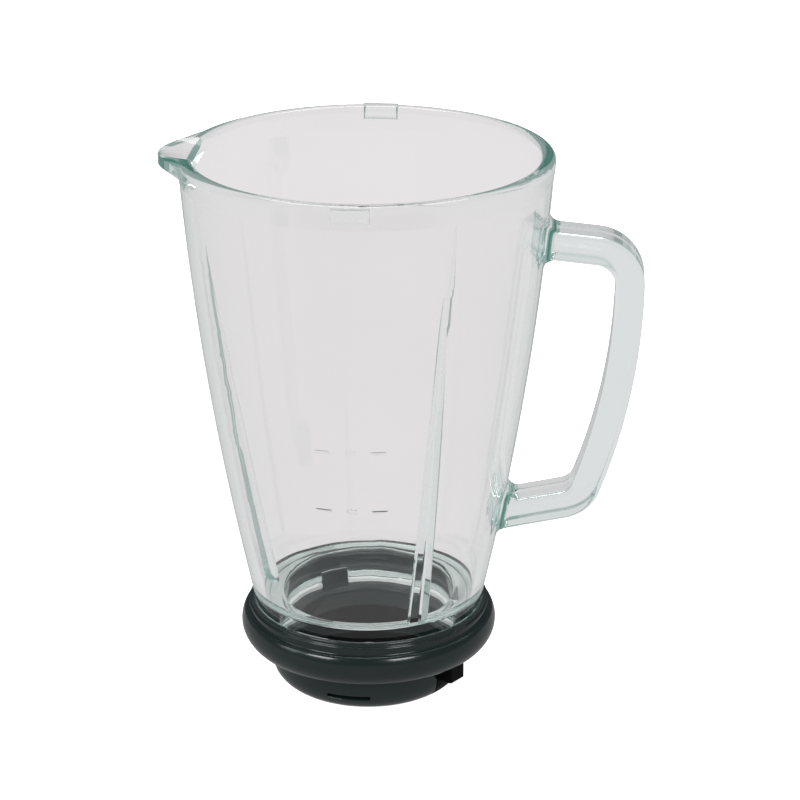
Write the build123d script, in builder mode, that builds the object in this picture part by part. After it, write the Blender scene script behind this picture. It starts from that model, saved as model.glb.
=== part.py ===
# Glass blender jar: a pressed glass jug with its handle, held in a moulded base collar.
# Millimetres, Z up. The jar stands on Z = 0 with its axis on the Z axis,
# its handle towards +X, its spout towards -X and its measuring scale towards -Y.
import os
from math import acos, cos, radians, sin, tan

from build123d import *

# Heights above the surface that the jar stands on
rim_height = 220.0
floor_height = 39.5
lip_height = 35.3
ledge_height = 25.0
ring_height = 16.5

# Fit between the glass, the collar, the gasket and the locking ring
fit_gap = 0.25

# Glass wall, rim and foot
rim_radius = 72.2
rim_thickness = 6.0
rim_band = 10.0
rim_edge = 3.2
rim_rounding = 2.5
bead_step = 0.85
wall_thickness = 4.5
wall_bulge = 3.2
wall_spans = 7
foot_radius = 45.8
foot_rounding = 2.0
neck_radius = 34.0
neck_rounding = 2.0
floor_rounding = 5.0

# Lid lugs, standing out of the rim on both sides
lug_count = 2
lug_width = 14.0
lug_height = 6.0
lug_depth = 2.8
lug_rounding = 1.2

# Pouring spout: a thick beak under the rim with a shallow channel in its top
spout_overhang = 7.8
spout_tip_radius = 18.0
spout_lip = 5.5
spout_depth = 13.0
spout_rounding = 2.0
channel_radius = 30.0
channel_depth = 4.6
channel_end_depth = 1.2

# Mixing ribs on the inside of the wall
rib_count = 3
rib_angle = 180.0
rib_drop = 38.0
rib_top_width = 3.0
rib_foot_width = 8.4
rib_foot_depth = 5.0
rib_rounding = 0.6

# Handle: its section, and the straight arms and bends of its middle line
handle_width = 19.0
handle_thickness = 11.3
handle_rounding = 2.0
handle_drop = 31.2
handle_overhang = 29.2
handle_droop = 5.5
upper_bend = 14.0
grip_radius = 245.0
grip_turn = 20.0
lower_bend = 12.0
lower_arm_rise = 12.5
handle_flare = 4.5

# Gasket between the glass foot and the collar ledge
gasket_thickness = 1.5
gasket_inner_radius = 33.5

# Base collar
bore_radius = 28.8
bore_rounding = 2.0
lip_thickness = 1.5
lip_step = 0.8
lip_step_height = 33.7
groove_height = 30.4
brim_top_radius = 50.0
brim_top_rounding = 1.5
brim_radius = 51.5
brim_height = 25.5
brim_underside_radius = 48.5
brim_underside_height = 18.2
skirt_radius = 39.3
skirt_rounding = 8.6

# Keys on the ledge that stop the glass turning in the collar
key_count = 3
key_width = 12.0
key_height = 6.5
key_depth = 2.6

# Black locking ring, with the lugs that hold the jar on its drive
ring_thickness = 4.2
ring_rounding = 1.2
ring_lug_count = 2
ring_lug_angle = -35.0
ring_lug_width = 9.0
ring_lug_height = 6.5
ring_lug_reach = 46.0
ring_lug_rounding = 1.0
window_angle = -97.5
window_width = 17.5
window_base = 6.0
window_height = 1.8

# Places worked out from those sizes
foot_height = ledge_height + gasket_thickness
band_height = rim_height - rim_band
edge_height = rim_height - rim_edge
shoulder_radius = rim_radius - bead_step
mouth_radius = rim_radius - rim_thickness
spout_reach = rim_radius + spout_overhang
rib_top = rim_height - rib_drop
handle_top = rim_height - handle_drop
handle_reach = rim_radius + handle_overhang
seat_radius = foot_radius + fit_gap
ring_radius = bore_radius + ring_thickness
key_outer_radius = neck_radius + key_depth


def wall_radius(height, depth=0.0):
    """Radius of the jug's wall at a height: a parabola that swells by wall_bulge half way up."""
    way_up = (height - lip_height) / (band_height - lip_height)
    straight = foot_radius + (shoulder_radius - foot_radius) * way_up
    return straight + 4 * wall_bulge * way_up * (1 - way_up) - depth


def wall_curve(low, high, depth=0.0):
    """Section of the wall between two heights, drawn upwards as a chain of flat arcs."""
    span = (high - low) / wall_spans
    for step in range(wall_spans):
        heights = [low + (step + way) * span for way in (0, 0.5, 1)]
        ThreePointArc(*[(wall_radius(height, depth), height) for height in heights])
    return (wall_radius(low, depth), low), (wall_radius(high, depth), high)


def beak_plan(base, reach):
    """Plan of the spout: two flanks tangent to the jug's circle and to the round tip."""
    tip_centre = reach - spout_tip_radius
    turn = acos((base - spout_tip_radius) / tip_centre)
    root = (-base * cos(turn), base * sin(turn))
    tip = (-tip_centre - spout_tip_radius * cos(turn), spout_tip_radius * sin(turn))
    with BuildLine() as outline:
        Line(root, tip)
        ThreePointArc(tip, (-reach, 0), (tip[0], -tip[1]))
        Line((tip[0], -tip[1]), (root[0], -root[1]))
        Line((root[0], -root[1]), root)
    make_face(outline.edges())


def rib_section(crest, width, depth):
    """Level section of a rib: a blunt wedge with its crest towards the jar's axis."""
    crest_half = width / 5
    root = crest + depth
    with BuildLine() as outline:
        Polyline(
            (crest, -crest_half),
            (root, -width / 2),
            (root + wall_thickness, -width / 2),
            (root + wall_thickness, width / 2),
            (root, width / 2),
            (crest, crest_half),
            close=True,
        )
    make_face(outline.edges())
    fillet(vertices().group_by(Axis.X)[0], min(rib_rounding, crest_half * 0.8))


# Spout beak: a slanting underside below a lip of even height, rounded all along its edge
with BuildPart() as spout_beak:
    beak_bottom = rim_height - spout_depth
    lip_bottom = rim_height - spout_lip
    beak_base = shoulder_radius - bead_step
    low_base = wall_radius(beak_bottom, wall_thickness / 2)
    with BuildSketch(Plane.XY.offset(beak_bottom)):
        beak_plan(low_base, low_base + bead_step)
    with BuildSketch(Plane.XY.offset(lip_bottom)):
        beak_plan(beak_base, spout_reach)
    loft()
    with BuildSketch(Plane.XY.offset(lip_bottom)):
        beak_plan(beak_base, spout_reach)
    extrude(amount=spout_lip)
    lip_edges = edges().filter_by_position(Axis.Z, lip_bottom, rim_height).filter_by(Axis.Z, reverse=True)
    fillet(lip_edges.filter_by_position(Axis.X, -spout_reach - 1, -mouth_radius), spout_rounding)

# Lid lug: a small block, rounded on its free edges
with BuildPart() as lid_lug:
    with BuildSketch(Plane.XY.offset(rim_height - lug_height)):
        with Locations((rim_radius, 0)):
            Rectangle(2 * lug_depth, lug_width)
    extrude(amount=lug_height - rim_rounding / 4)
    fillet(faces().sort_by(Axis.X)[-1].edges(), lug_rounding)

# Middle of the wall's thickness: the limit that the ribs are sunk to
with BuildPart() as wall_core:
    with BuildSketch(Plane.XZ):
        with BuildLine():
            core_foot, core_top = wall_curve(floor_height, band_height, wall_thickness / 2)
            Polyline(core_top, (0, band_height), (0, floor_height), core_foot)
        make_face()
    revolve(axis=Axis.Z)

# Mixing rib, tapering from the floor to a point on the wall
with BuildPart() as mixing_rib:
    foot_crest = wall_radius(floor_height, wall_thickness) - rib_foot_depth
    top_crest = wall_radius(rib_top, wall_thickness)
    with BuildSketch(Plane.XY.offset(floor_height)):
        rib_section(foot_crest, rib_foot_width, rib_foot_depth)
    with BuildSketch(Plane.XY.offset(rib_top)):
        rib_section(top_crest, rib_top_width, wall_thickness / 4)
    loft()
    add(wall_core.part, mode=Mode.INTERSECT)

# Glass jar: the outside of the jug is turned first, then its handle, spout and lugs are added to it,
# then the inside is cut out of the whole and the ribs are set on the wall
with BuildPart() as glass_jar:
    with BuildSketch(Plane.XZ):
        with BuildLine():
            wall_foot, wall_top = wall_curve(lip_height, band_height)
            Polyline(
                wall_top,
                (rim_radius, edge_height),
                (rim_radius, rim_height),
                (0, rim_height),
                (0, foot_height),
                (foot_radius, foot_height),
                wall_foot,
            )
        make_face()
    revolve(axis=Axis.Z)
    fillet(edges().filter_by(GeomType.CIRCLE).group_by(Axis.Z)[-1], rim_rounding)
    fillet(edges().filter_by(GeomType.CIRCLE).group_by(Axis.Z)[0], foot_rounding)

    # Handle, swept along its middle line from inside the wall, flared where it meets the wall
    with BuildLine(Plane.XZ) as handle_path:
        arm_end = handle_reach - upper_bend * (1 - sin(radians(handle_droop)))
        arm_fall = (arm_end - foot_radius) * tan(radians(handle_droop))
        upper_arm = Line((foot_radius, handle_top), (arm_end, handle_top - arm_fall))
        upper_corner = JernArc(upper_arm @ 1, upper_arm % 1, upper_bend, handle_droop - 90)
        grip = JernArc(upper_corner @ 1, upper_corner % 1, grip_radius, -grip_turn)
        lower_corner = JernArc(grip @ 1, grip % 1, lower_bend, grip_turn + lower_arm_rise - 90)
        lower_run = ((lower_corner @ 1).X - neck_radius) / cos(radians(lower_arm_rise))
        Line(lower_corner @ 1, lower_corner @ 1 + (lower_corner % 1) * lower_run)
    with BuildSketch(Plane(origin=upper_arm @ 0, x_dir=(0, 1, 0), z_dir=upper_arm % 0)):
        RectangleRounded(handle_width, handle_thickness, handle_rounding)
    sweep(path=handle_path.line)
    fillet(edges(Select.NEW), handle_flare)

    # Spout and lid lugs
    add(spout_beak.part)
    with PolarLocations(0, lug_count, start_angle=90):
        add(lid_lug.part)

    # Inside of the jug, with the rounded edge of the rim
    with BuildSketch(Plane.XZ):
        with BuildLine():
            inner_foot, inner_top = wall_curve(floor_height, band_height, wall_thickness)
            rim_inner = Polyline(
                inner_top,
                (mouth_radius, edge_height),
                (mouth_radius, rim_height - rim_rounding),
            )
            rim_crown = RadiusArc(rim_inner @ 1, (mouth_radius + rim_rounding, rim_height), rim_rounding)
            Polyline(
                rim_crown @ 1,
                (mouth_radius + rim_rounding, rim_height + rim_rounding),
                (0, rim_height + rim_rounding),
                (0, floor_height),
                inner_foot,
            )
        make_face()
        floor_corner = vertices().group_by(Axis.Y)[0].sort_by(Axis.X)[-1]
        fillet(floor_corner, floor_rounding)
    revolve(axis=Axis.Z, mode=Mode.SUBTRACT)

    # Pouring channel, rising towards the tip of the spout
    channel_slope = (channel_depth - channel_end_depth) / (spout_reach - mouth_radius)
    channel_way = Vector(-1, 0, channel_slope).normalized()
    channel_up = Vector(channel_slope, 0, 1).normalized()
    channel_start = Vector(-mouth_radius, 0, rim_height - channel_depth) + channel_up * channel_radius
    with BuildSketch(Plane(origin=channel_start, z_dir=channel_way)):
        Circle(channel_radius)
    extrude(amount=spout_reach - mouth_radius + rim_thickness, both=True, mode=Mode.SUBTRACT)

    # Open neck in the floor
    with BuildSketch(Plane.XY.offset(foot_height)):
        Circle(neck_radius)
    extrude(amount=floor_height - foot_height, mode=Mode.SUBTRACT)
    circles = edges().filter_by(GeomType.CIRCLE)
    fillet(circles.filter_by(lambda edge: abs(edge.radius - neck_radius) < 1e-6), neck_rounding)

    # Ribs
    with PolarLocations(0, rib_count, start_angle=rib_angle):
        add(mixing_rib.part)

    # Recesses in the foot for the collar's keys
    with BuildSketch(Plane.XY.offset(foot_height)):
        with PolarLocations(neck_radius, key_count):
            Rectangle(2 * (key_depth + fit_gap), key_width + 2 * fit_gap)
    extrude(amount=ledge_height + key_height + fit_gap - foot_height, mode=Mode.SUBTRACT)

# Foot gasket: a flat ring under the glass, notched around the keys
with BuildPart() as foot_gasket:
    with BuildSketch(Plane.XY.offset(ledge_height)):
        Circle(foot_radius - foot_rounding / 2)
        Circle(gasket_inner_radius, mode=Mode.SUBTRACT)
        with PolarLocations(neck_radius, key_count):
            Rectangle(2 * (key_depth + fit_gap), key_width + 2 * fit_gap, mode=Mode.SUBTRACT)
    extrude(amount=gasket_thickness)

# Outside of the skirt, turned in to its lower edge
with BuildPart() as skirt_form:
    with BuildSketch(Plane.XY):
        Circle(skirt_radius)
    extrude(amount=brim_underside_height)
    fillet(edges().group_by(Axis.Z)[0], skirt_rounding)

# Base collar: lip, groove and fat brim in one turned section around the seat of the glass, on the skirt
with BuildPart() as base_collar:
    lip_radius = seat_radius + lip_thickness
    step_radius = lip_radius + lip_step
    with BuildSketch(Plane.XZ):
        with BuildLine():
            lip = Polyline(
                (0, ledge_height),
                (seat_radius, ledge_height),
                (seat_radius, lip_height),
                (lip_radius, lip_height),
                (lip_radius, lip_step_height),
                (step_radius, lip_step_height),
                (step_radius, groove_height),
                (brim_top_radius, groove_height),
            )
            brim = ThreePointArc(
                lip @ 1,
                (brim_radius, brim_height),
                (brim_underside_radius, brim_underside_height),
            )
            Polyline(brim @ 1, (0, brim_underside_height), lip @ 0)
        make_face()
        fillet(vertices().sort_by_distance((brim_top_radius, groove_height))[0], brim_top_rounding)
    revolve(axis=Axis.Z)
    add(skirt_form.part)

    # Seat of the locking ring, and the bore above it
    with BuildSketch(Plane.XY):
        Circle(ring_radius + fit_gap)
    extrude(amount=ring_height, mode=Mode.SUBTRACT)
    with BuildSketch(Plane.XY.offset(ring_height)):
        Circle(bore_radius)
    extrude(amount=ledge_height - ring_height, mode=Mode.SUBTRACT)
    circles = edges().filter_by(GeomType.CIRCLE)
    bore_circles = circles.filter_by(lambda edge: abs(edge.radius - bore_radius) < 1e-6)
    fillet(bore_circles.sort_by(Axis.Z)[-1], bore_rounding)

    # Keys standing on the ledge
    with BuildSketch(Plane.XY.offset(ledge_height)):
        with PolarLocations((gasket_inner_radius + key_outer_radius) / 2, key_count):
            Rectangle(key_outer_radius - gasket_inner_radius, key_width)
    extrude(amount=key_height)

    # Slots for the ring's lugs, and windows low in the skirt that show the ring
    with BuildSketch(Plane.XY):
        with PolarLocations(skirt_radius, ring_lug_count, start_angle=ring_lug_angle):
            Rectangle(2 * (skirt_radius - bore_radius), ring_lug_width + 2 * fit_gap)
    extrude(amount=ring_height + fit_gap, mode=Mode.SUBTRACT)
    with BuildSketch(Plane.XY.offset(window_base)):
        with PolarLocations(skirt_radius, ring_lug_count, start_angle=window_angle):
            Rectangle(2 * (skirt_radius - bore_radius), window_width)
    extrude(amount=window_height, mode=Mode.SUBTRACT)

# Lug of the locking ring, on a stem that fills its slot flush with the skirt
with BuildPart() as ring_lug:
    lug_length = ring_lug_reach - bore_radius
    lug_middle = bore_radius + lug_length / 2
    with BuildSketch(Plane.XY):
        with Locations((lug_middle, 0)):
            RectangleRounded(lug_length, ring_lug_width, ring_lug_rounding)
    extrude(amount=ring_height)
    add(skirt_form.part, mode=Mode.INTERSECT)
    with BuildSketch(Plane.XY.offset(ring_height - ring_lug_height)):
        with Locations((lug_middle, 0)):
            RectangleRounded(lug_length, ring_lug_width, ring_lug_rounding)
    extrude(amount=ring_lug_height)

# Locking ring: a sleeve in the foot of the collar with its lugs
with BuildPart() as locking_ring:
    with BuildSketch(Plane.XY):
        Circle(ring_radius)
    extrude(amount=ring_height)
    fillet(edges().group_by(Axis.Z)[0], ring_rounding)
    with PolarLocations(0, ring_lug_count, start_angle=ring_lug_angle):
        add(ring_lug.part)
    with BuildSketch(Plane.XY):
        Circle(bore_radius)
    extrude(amount=ring_height, mode=Mode.SUBTRACT)

glass_jar.part.label = "glass_jar"
base_collar.part.label = "base_collar"
foot_gasket.part.label = "foot_gasket"
locking_ring.part.label = "locking_ring"

os.makedirs("parts", exist_ok=True)
export_step(glass_jar.part, "parts/glass_jar.step")
export_step(base_collar.part, "parts/base_collar.step")
export_step(foot_gasket.part, "parts/foot_gasket.step")
export_step(locking_ring.part, "parts/locking_ring.step")
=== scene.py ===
import math

import bmesh
import bpy
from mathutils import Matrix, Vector


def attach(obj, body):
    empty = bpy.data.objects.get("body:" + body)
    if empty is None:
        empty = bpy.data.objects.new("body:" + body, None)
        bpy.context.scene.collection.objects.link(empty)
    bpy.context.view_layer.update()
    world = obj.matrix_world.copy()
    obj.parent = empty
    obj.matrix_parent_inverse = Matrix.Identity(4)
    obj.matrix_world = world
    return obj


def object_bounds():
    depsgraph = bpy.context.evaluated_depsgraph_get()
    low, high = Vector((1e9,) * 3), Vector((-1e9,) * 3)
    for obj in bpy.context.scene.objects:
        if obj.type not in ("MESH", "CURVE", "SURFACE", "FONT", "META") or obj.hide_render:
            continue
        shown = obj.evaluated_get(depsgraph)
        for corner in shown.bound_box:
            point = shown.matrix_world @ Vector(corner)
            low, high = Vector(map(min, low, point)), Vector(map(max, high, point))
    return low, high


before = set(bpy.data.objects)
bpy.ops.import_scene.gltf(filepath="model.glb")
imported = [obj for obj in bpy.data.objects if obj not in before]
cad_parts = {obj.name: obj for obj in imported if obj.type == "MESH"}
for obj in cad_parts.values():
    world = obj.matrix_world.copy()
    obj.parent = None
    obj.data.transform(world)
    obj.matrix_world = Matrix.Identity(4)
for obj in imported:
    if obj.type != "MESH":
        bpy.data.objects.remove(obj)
cad_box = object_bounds()


# Locking ring: the black ring in the foot of the collar, with the lugs that hold the jar on its drive.
# It is injection moulded with a fine eroded grain and pushed up into the collar from below.
MM = 0.001


class Flow:
    """One value in a material's nodes. Sums, differences and products of values add Math nodes."""

    def __init__(self, tree, socket=None):
        self.tree = tree
        self.socket = socket

    def node(self, kind, settings, sockets, output=0):
        """Adds a node: its settings first, then the values or links of its sockets."""
        made = self.tree.nodes.new("ShaderNode" + kind)
        for name, value in settings.items():
            setattr(made, name, value)
        for name, value in sockets.items():
            if isinstance(value, Flow):
                self.tree.links.new(value.socket, made.inputs[name])
            else:
                made.inputs[name].default_value = value
        return Flow(self.tree, made.outputs[output]) if len(made.outputs) else None

    def math(self, operation, first, second):
        return self.node("Math", {"operation": operation}, {0: first, 1: second})

    def __add__(self, other):
        return self.math("ADD", self, other)

    __radd__ = __add__

    def __sub__(self, other):
        return self.math("SUBTRACT", self, other)

    def __rsub__(self, other):
        return self.math("SUBTRACT", other, self)

    def __mul__(self, other):
        return self.math("MULTIPLY", self, other)

    __rmul__ = __mul__


def new_finish(slot):
    """A bare material named for its slot, with the starting point of its nodes."""
    finish = bpy.data.materials.new(slot)
    finish.use_nodes = True
    finish.node_tree.nodes.clear()
    return finish, Flow(finish.node_tree)


def noise(nodes, size, detail=2.0, stretch=(1.0, 1.0, 1.0)):
    """Cloudy noise over the piece, with spots of a size in metres, drawn out by stretch."""
    place = nodes.node("TexCoord", {}, {}, "Object")
    if stretch != (1.0, 1.0, 1.0):
        place = nodes.node("Mapping", {}, {"Vector": place, "Scale": stretch})
    return nodes.node("TexNoise", {}, {"Vector": place, "Scale": 1.0 / size, "Detail": detail})


def blend(nodes, mask, low, high):
    """A colour between two shades, as the mask goes from 0 to 1."""
    return nodes.node("Mix", {"data_type": "RGBA"}, {"Factor": mask, 6: low, 7: high}, 2)


def between(nodes, value, low, high):
    """A value taken from low..high to 0..1, held at both ends."""
    return nodes.node("MapRange", {"clamp": True}, {"Value": value, "From Min": low, "From Max": high})


def dress(node, finish):
    """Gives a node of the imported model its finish."""
    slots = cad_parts[node].data.materials
    slots.clear()
    slots.append(finish)


edge_rounding = 1.0 * MM
cloud_size = 30.0 * MM
scuff_size = 4.0 * MM
scuff_stretch = (1.0, 1.0, 5.0)
grain_size = 5.0 * MM
grain_height = 0.3 * MM


def moulded_plastic(slot, shade, worn_shade, roughness, shine):
    """Satin moulded plastic: softened edges, a fine eroded grain, cloudy gloss and pale scuffs."""
    finish, nodes = new_finish(slot)
    cloud = noise(nodes, cloud_size, 4.0)
    scuff = between(nodes, noise(nodes, scuff_size, 6.0, scuff_stretch), 0.62, 0.8)
    grain = noise(nodes, grain_size, 3.0)
    tone = between(nodes, cloud, 0.3, 0.7) * 0.35 + scuff * 0.25
    edges = nodes.node("Bevel", {"samples": 8}, {"Radius": edge_rounding})
    bump = nodes.node(
        "Bump",
        {},
        {"Strength": 0.05, "Distance": grain_height, "Height": grain, "Normal": edges},
    )
    surface = nodes.node(
        "BsdfPrincipled",
        {},
        {
            "Base Color": blend(nodes, tone, shade, worn_shade),
            "Roughness": roughness + (cloud - 0.5) * 0.12 + scuff * 0.08,
            "IOR": 1.46,
            "Specular IOR Level": shine,
            "Normal": bump,
        },
    )
    nodes.node("OutputMaterial", {}, {"Surface": surface})
    return finish


ring_black = (0.001, 0.001, 0.001, 1)
ring_scuffed = (0.004, 0.004, 0.0045, 1)
ring_finish = moulded_plastic("ring_plastic", ring_black, ring_scuffed, roughness=0.42, shine=0.06)
dress("locking_ring", ring_finish)

# Base collar: one thick moulding around the foot of the glass, with a lip, a groove and a fat rounded brim.
# It is moulded in dark green-grey plastic with a satin skin, and the glass sits in it on a gasket.
collar_green = (0.0055, 0.0108, 0.0104, 1)
collar_scuffed = (0.011, 0.0186, 0.0182, 1)
collar_finish = moulded_plastic("collar_plastic", collar_green, collar_scuffed, roughness=0.16, shine=0.5)
dress("base_collar", collar_finish)

# Foot gasket: a flat sealing ring between the glass foot and the ledge of the collar.
# It is moulded in milky white silicone, a little cloudy, and squeezed by the glass that stands on it.
milk_size = 6.0 * MM
skin_size = 1.2 * MM
skin_height = 0.2 * MM
milky_shade = (0.5, 0.52, 0.51, 1)
pale_shade = (0.58, 0.6, 0.59, 1)
seam_reach = 0.001 * MM
swell = 0.05 * MM
gasket_finish, nodes = new_finish("gasket_rubber")
milk = between(nodes, noise(nodes, milk_size, 5.0), 0.35, 0.75)
gasket_skin = noise(nodes, skin_size, 2.0)
gasket_surface = nodes.node(
    "BsdfPrincipled",
    {},
    {
        "Base Color": blend(nodes, milk, milky_shade, pale_shade),
        "Roughness": milk * 0.15 + 0.4,
        "IOR": 1.41,
        "Normal": nodes.node(
            "Bump", {}, {"Strength": 0.1, "Distance": skin_height, "Height": gasket_skin}
        ),
    },
)
nodes.node("OutputMaterial", {}, {"Surface": gasket_surface})
dress("foot_gasket", gasket_finish)
gasket_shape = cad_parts["foot_gasket"].modifiers
gasket_shape.new("closed_seams", "WELD").merge_threshold = seam_reach
squeeze = gasket_shape.new("squeeze", "DISPLACE")
squeeze.mid_level = 0.0
squeeze.strength = swell

# Glass jar: the jug with its handle, spout, lid lugs and mixing ribs, pressed from one gob of glass.
# The glass is clear and shows green along its thick edges, with the faint ripple that the mould leaves.
# Past five bounces in the glass, a painted glow in one even, pale green tone fades in and takes the place of
# the traced light.
ripple_size = 20.0 * MM
ripple_stretch = (1.0, 1.0, 0.4)
ripple_height = 1.0 * MM
breath_size = 50.0 * MM
clear_shade = (1.0, 0.985, 0.985, 1)
breathed_shade = (0.985, 0.97, 0.97, 1)
painted_glow_first_depth = 5.0
painted_glow_last_depth = 9.0
glass_finish, nodes = new_finish("jar_glass")
ripple = noise(nodes, ripple_size, 1.0, ripple_stretch)
breath = between(nodes, noise(nodes, breath_size, 3.0), 0.4, 0.8)
glass_surface = nodes.node(
    "BsdfPrincipled",
    {},
    {
        "Base Color": blend(nodes, breath, clear_shade, breathed_shade),
        "Roughness": breath * 0.012,
        "IOR": 1.5,
        "Transmission Weight": 1.0,
        "Normal": nodes.node(
            "Bump", {}, {"Strength": 0.05, "Distance": ripple_height, "Height": ripple}
        ),
    },
)
# Painted glow: from the fifth to the ninth bounce, an even pale green emission takes over from the glass
# shader.
bounces = nodes.node("LightPath", {}, {}, "Ray Depth")
painted_glow_share = between(nodes, bounces, painted_glow_first_depth, painted_glow_last_depth)
painted_bounce_glow = nodes.node("Emission", {}, {"Color": (0.43, 0.46, 0.45, 1), "Strength": 1.0})
glass_body = nodes.node("MixShader", {}, {0: painted_glow_share, 1: glass_surface, 2: painted_bounce_glow})
green_depth = nodes.node("VolumeAbsorption", {}, {"Color": (0.0, 0.6, 0.5, 1), "Density": 6.5})
nodes.node("OutputMaterial", {}, {"Surface": glass_body, "Volume": green_depth})
dress("glass_jar", glass_finish)
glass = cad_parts["glass_jar"]
glass.visible_shadow = False

# Measuring scale: two rows of two short bars and a number, standing out of the front of the jug.
# They are cut into the mould, so they are part of the glass and have its finish. Sizes are in millimetres.
scale_turn = math.radians(-91.5)
scale_rows = ((95.5, "400", 0.2), (121.0, "650", 0.1))
bar_length = 6.2
bar_height = 1.3
bar_reach = 10.6
mark_root = 0.1
digit_size = 3.0
weld_reach = 0.002
sharp_edge = math.radians(60)


def on_wall(along, height, lift):
    """Point off the front of the jug, by its place along the wall, its height and its lift off the wall."""
    to_glass = glass.matrix_world.inverted()
    wall_way = Vector((math.cos(scale_turn), math.sin(scale_turn), 0))
    across = Vector((-wall_way.y, wall_way.x, 0))
    start = wall_way * cad_box[1].y * 2 + across * along * MM + Vector((0, 0, height * MM))
    place = glass.ray_cast(to_glass @ start, to_glass.to_3x3() @ -wall_way)[1]
    return glass.matrix_world @ place + wall_way * lift * MM


def scale_piece(name, points, faces):
    """A mark on the wall, made from points given along, up and out of it in millimetres."""
    shape = bpy.data.meshes.new(name)
    shape.from_pydata([on_wall(*point) for point in points], [], faces)
    seams = bmesh.new()
    seams.from_mesh(shape)
    bmesh.ops.remove_doubles(seams, verts=seams.verts, dist=weld_reach * MM)
    bmesh.ops.recalc_face_normals(seams, faces=seams.faces)
    seams.to_mesh(shape)
    seams.free()
    shape.shade_smooth()
    shape.set_sharp_from_angle(angle=sharp_edge)
    shape.materials.append(glass_finish)
    mark = bpy.data.objects.new(name, shape)
    mark.visible_shadow = False
    bpy.context.collection.objects.link(mark)
    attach(mark, "root")


def bar(name, middle, height, lift):
    """A bar with a domed face and rounded ends, closed by a flat back inside the wall."""
    steps_along = 24
    steps_up = 8
    points = []
    faces = []
    for crown in (lift + mark_root, 0.0):
        for i in range(steps_along + 1):
            for j in range(steps_up + 1):
                way = 2 * i / steps_along - 1
                rise = 2 * j / steps_up - 1
                dome = (1 - rise ** 2) * (1 - way ** 8)
                points.append((
                    middle + way * bar_length / 2,
                    height + rise * bar_height / 2,
                    dome * crown - mark_root,
                ))
    back = len(points) // 2
    for i in range(steps_along):
        for j in range(steps_up):
            corner = i * (steps_up + 1) + j
            face = (corner, corner + steps_up + 1, corner + steps_up + 2, corner + 1)
            faces.append(face)
            faces.append(tuple(back + point for point in reversed(face)))
    scale_piece(name, points, faces)


def number(name, digits, height, lift):
    """A number with rounded strokes, drawn flat and then laid on the wall."""
    words = bpy.data.curves.new(name, "FONT")
    words.body = digits
    words.size = digit_size
    words.align_x = "CENTER"
    words.align_y = "CENTER"
    words.extrude = (lift + mark_root) / 2 - lift / 4
    words.bevel_depth = lift / 4
    words.resolution_u = 3
    sample = bpy.data.objects.new(name, words)
    bpy.context.collection.objects.link(sample)
    drawn = sample.evaluated_get(bpy.context.evaluated_depsgraph_get())
    flat = bpy.data.meshes.new_from_object(drawn)
    bpy.data.objects.remove(sample)
    points = [(v.co.x, height + v.co.y, v.co.z + (lift - mark_root) / 2) for v in flat.vertices]
    scale_piece(name, points, [tuple(face.vertices) for face in flat.polygons])


for row_height, digits, row_lift in scale_rows:
    bar("scale_bar_left_" + digits, -bar_reach, row_height, row_lift)
    bar("scale_bar_right_" + digits, bar_reach, row_height, row_lift)
    number("scale_number_" + digits, digits, row_height, row_lift)

# Floor: a wide pale sweep that the jar stands on, painted matt and almost even in tone.
# It belongs to the studio and not to the jar. Seen straight it is white, and through the glass a light grey.
floor_reach = 8.0
mottle_size = 0.4
dark_paint = (0.81, 0.785, 0.795, 1)
light_paint = (0.83, 0.805, 0.815, 1)
mirrored_paint = (0.45, 0.45, 0.45, 1)
unlit = (0, 0, 0, 1)
white_paint = (0.97, 0.97, 0.97, 1)
white_glow = (0.8, 0.8, 0.8, 1)
bpy.ops.mesh.primitive_plane_add(size=2 * floor_reach, location=(0, 0, cad_box[0].z))
floor = bpy.context.object
floor.name = "studio_floor"
floor_finish, nodes = new_finish("floor_paint")
mottle = noise(nodes, mottle_size, 3.0)
straight = nodes.node("LightPath", {}, {}, "Is Camera Ray")
refracted = nodes.node("LightPath", {}, {}, "Is Transmission Ray")
paint = blend(nodes, mottle, dark_paint, light_paint)
glow = blend(nodes, refracted, mirrored_paint, paint)
floor_surface = nodes.node(
    "BsdfPrincipled",
    {},
    {
        "Base Color": blend(nodes, straight, unlit, white_paint),
        "Roughness": 0.9,
        "Specular IOR Level": 0.0,
        "Emission Color": blend(nodes, straight, glow, white_glow),
        "Emission Strength": 1.0,
    },
)
nodes.node("OutputMaterial", {}, {"Surface": floor_surface})
floor.data.materials.append(floor_finish)


# Studio light: two softboxes in front and one at the left, which light all but the glass and leave it clear.
# They give the brim its two soft highlights. One more hangs overhead, in a pale room that is darker in front.
def softbox(name, place, width, height, power):
    """A rectangular softbox at a place, turned towards the middle of the jar."""
    lamp = bpy.data.lights.new(name, "AREA")
    lamp.shape = "RECTANGLE"
    lamp.size = width
    lamp.size_y = height
    lamp.energy = power
    holder = bpy.data.objects.new(name, lamp)
    holder.location = place
    holder.rotation_euler = (jar_middle - Vector(place)).to_track_quat("-Z", "Y").to_euler()
    bpy.context.collection.objects.link(holder)
    return holder


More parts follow.
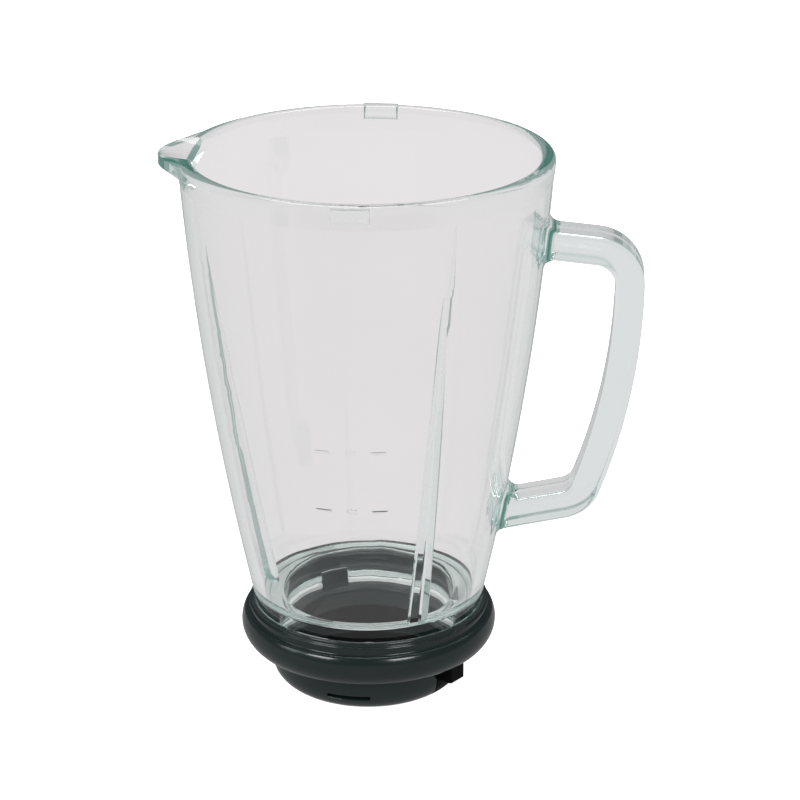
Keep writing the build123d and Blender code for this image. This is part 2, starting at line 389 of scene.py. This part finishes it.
jar_middle = (cad_box[0] + cad_box[1]) / 2
solid_things = bpy.data.collections.new("solid_things")
for node in ("locking_ring", "base_collar", "foot_gasket"):
    solid_things.objects.link(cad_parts[node])
solid_things.objects.link(floor)
for lamp in (
    softbox("left_front_softbox", (-1.27, -1.49, 1.03), width=0.85, height=0.7, power=28),
    softbox("right_front_softbox", (1.1, -1.6, 1.03), width=0.73, height=0.7, power=24),
    softbox("left_softbox", (-1.6, -0.6, 0.8), width=0.6, height=1.0, power=6),
):
    lamp.light_linking.receiver_collection = solid_things
softbox("overhead_softbox", (0.0, 0.5, 2.0), width=1.6, height=0.8, power=14)

front_end = -0.9
front_start = -0.55
front_wall = (0.42, 0.42, 0.425, 1)
pale_wall = (0.76, 0.76, 0.76, 1)
mirrored_wall = (0.13, 0.13, 0.135, 1)
room = bpy.data.worlds.new("studio_room")
room.use_nodes = True
room.node_tree.nodes.clear()
nodes = Flow(room.node_tree)
sight = nodes.node("TexCoord", {}, {}, "Generated")
aspect = nodes.node("SeparateXYZ", {}, {"Vector": sight}, "Y")
walls = blend(nodes, between(nodes, aspect, front_end, front_start), front_wall, pale_wall)
passed = nodes.node("LightPath", {}, {}, "Is Transmission Ray")
mirrored = nodes.node("LightPath", {}, {}, "Is Glossy Ray") * (1.0 - passed)
shown = blend(nodes, mirrored, walls, mirrored_wall)
backdrop = nodes.node("Background", {}, {"Color": shown, "Strength": 1.0})
nodes.node("OutputWorld", {}, {"Surface": backdrop})
scene = bpy.context.scene
scene.world = room
scene.view_settings.view_transform = "Standard"
scene.cycles.max_bounces = 32
scene.cycles.transmission_bounces = 32
scene.cycles.glossy_bounces = 16

# Camera: a long lens a little to the handle's side of the front, looking down at the jar.
# Its place was fitted to the rim, the wall and the brim in the photograph.
camera_turn = math.radians(4.0)
camera_side = 12.75 * MM
camera_distance = 953.9 * MM
camera_height = 491.4 * MM
aim_height = 118.6 * MM
focus_pixels = 2598.5
picture_pixels = 800
camera_pitch = math.atan2(camera_height - aim_height, camera_distance)
view = bpy.data.cameras.new("photo_camera")
view.sensor_width = 36.0
view.lens = focus_pixels / picture_pixels * view.sensor_width
view.clip_start = 0.01
camera = bpy.data.objects.new("photo_camera", view)
camera.location = (
    camera_side * math.cos(camera_turn) + camera_distance * math.sin(camera_turn),
    camera_side * math.sin(camera_turn) - camera_distance * math.cos(camera_turn),
    camera_height,
)
camera.rotation_euler = (math.pi / 2 - camera_pitch, 0, camera_turn)
bpy.context.collection.objects.link(camera)
scene.camera = camera

bpy.context.view_layer.update()
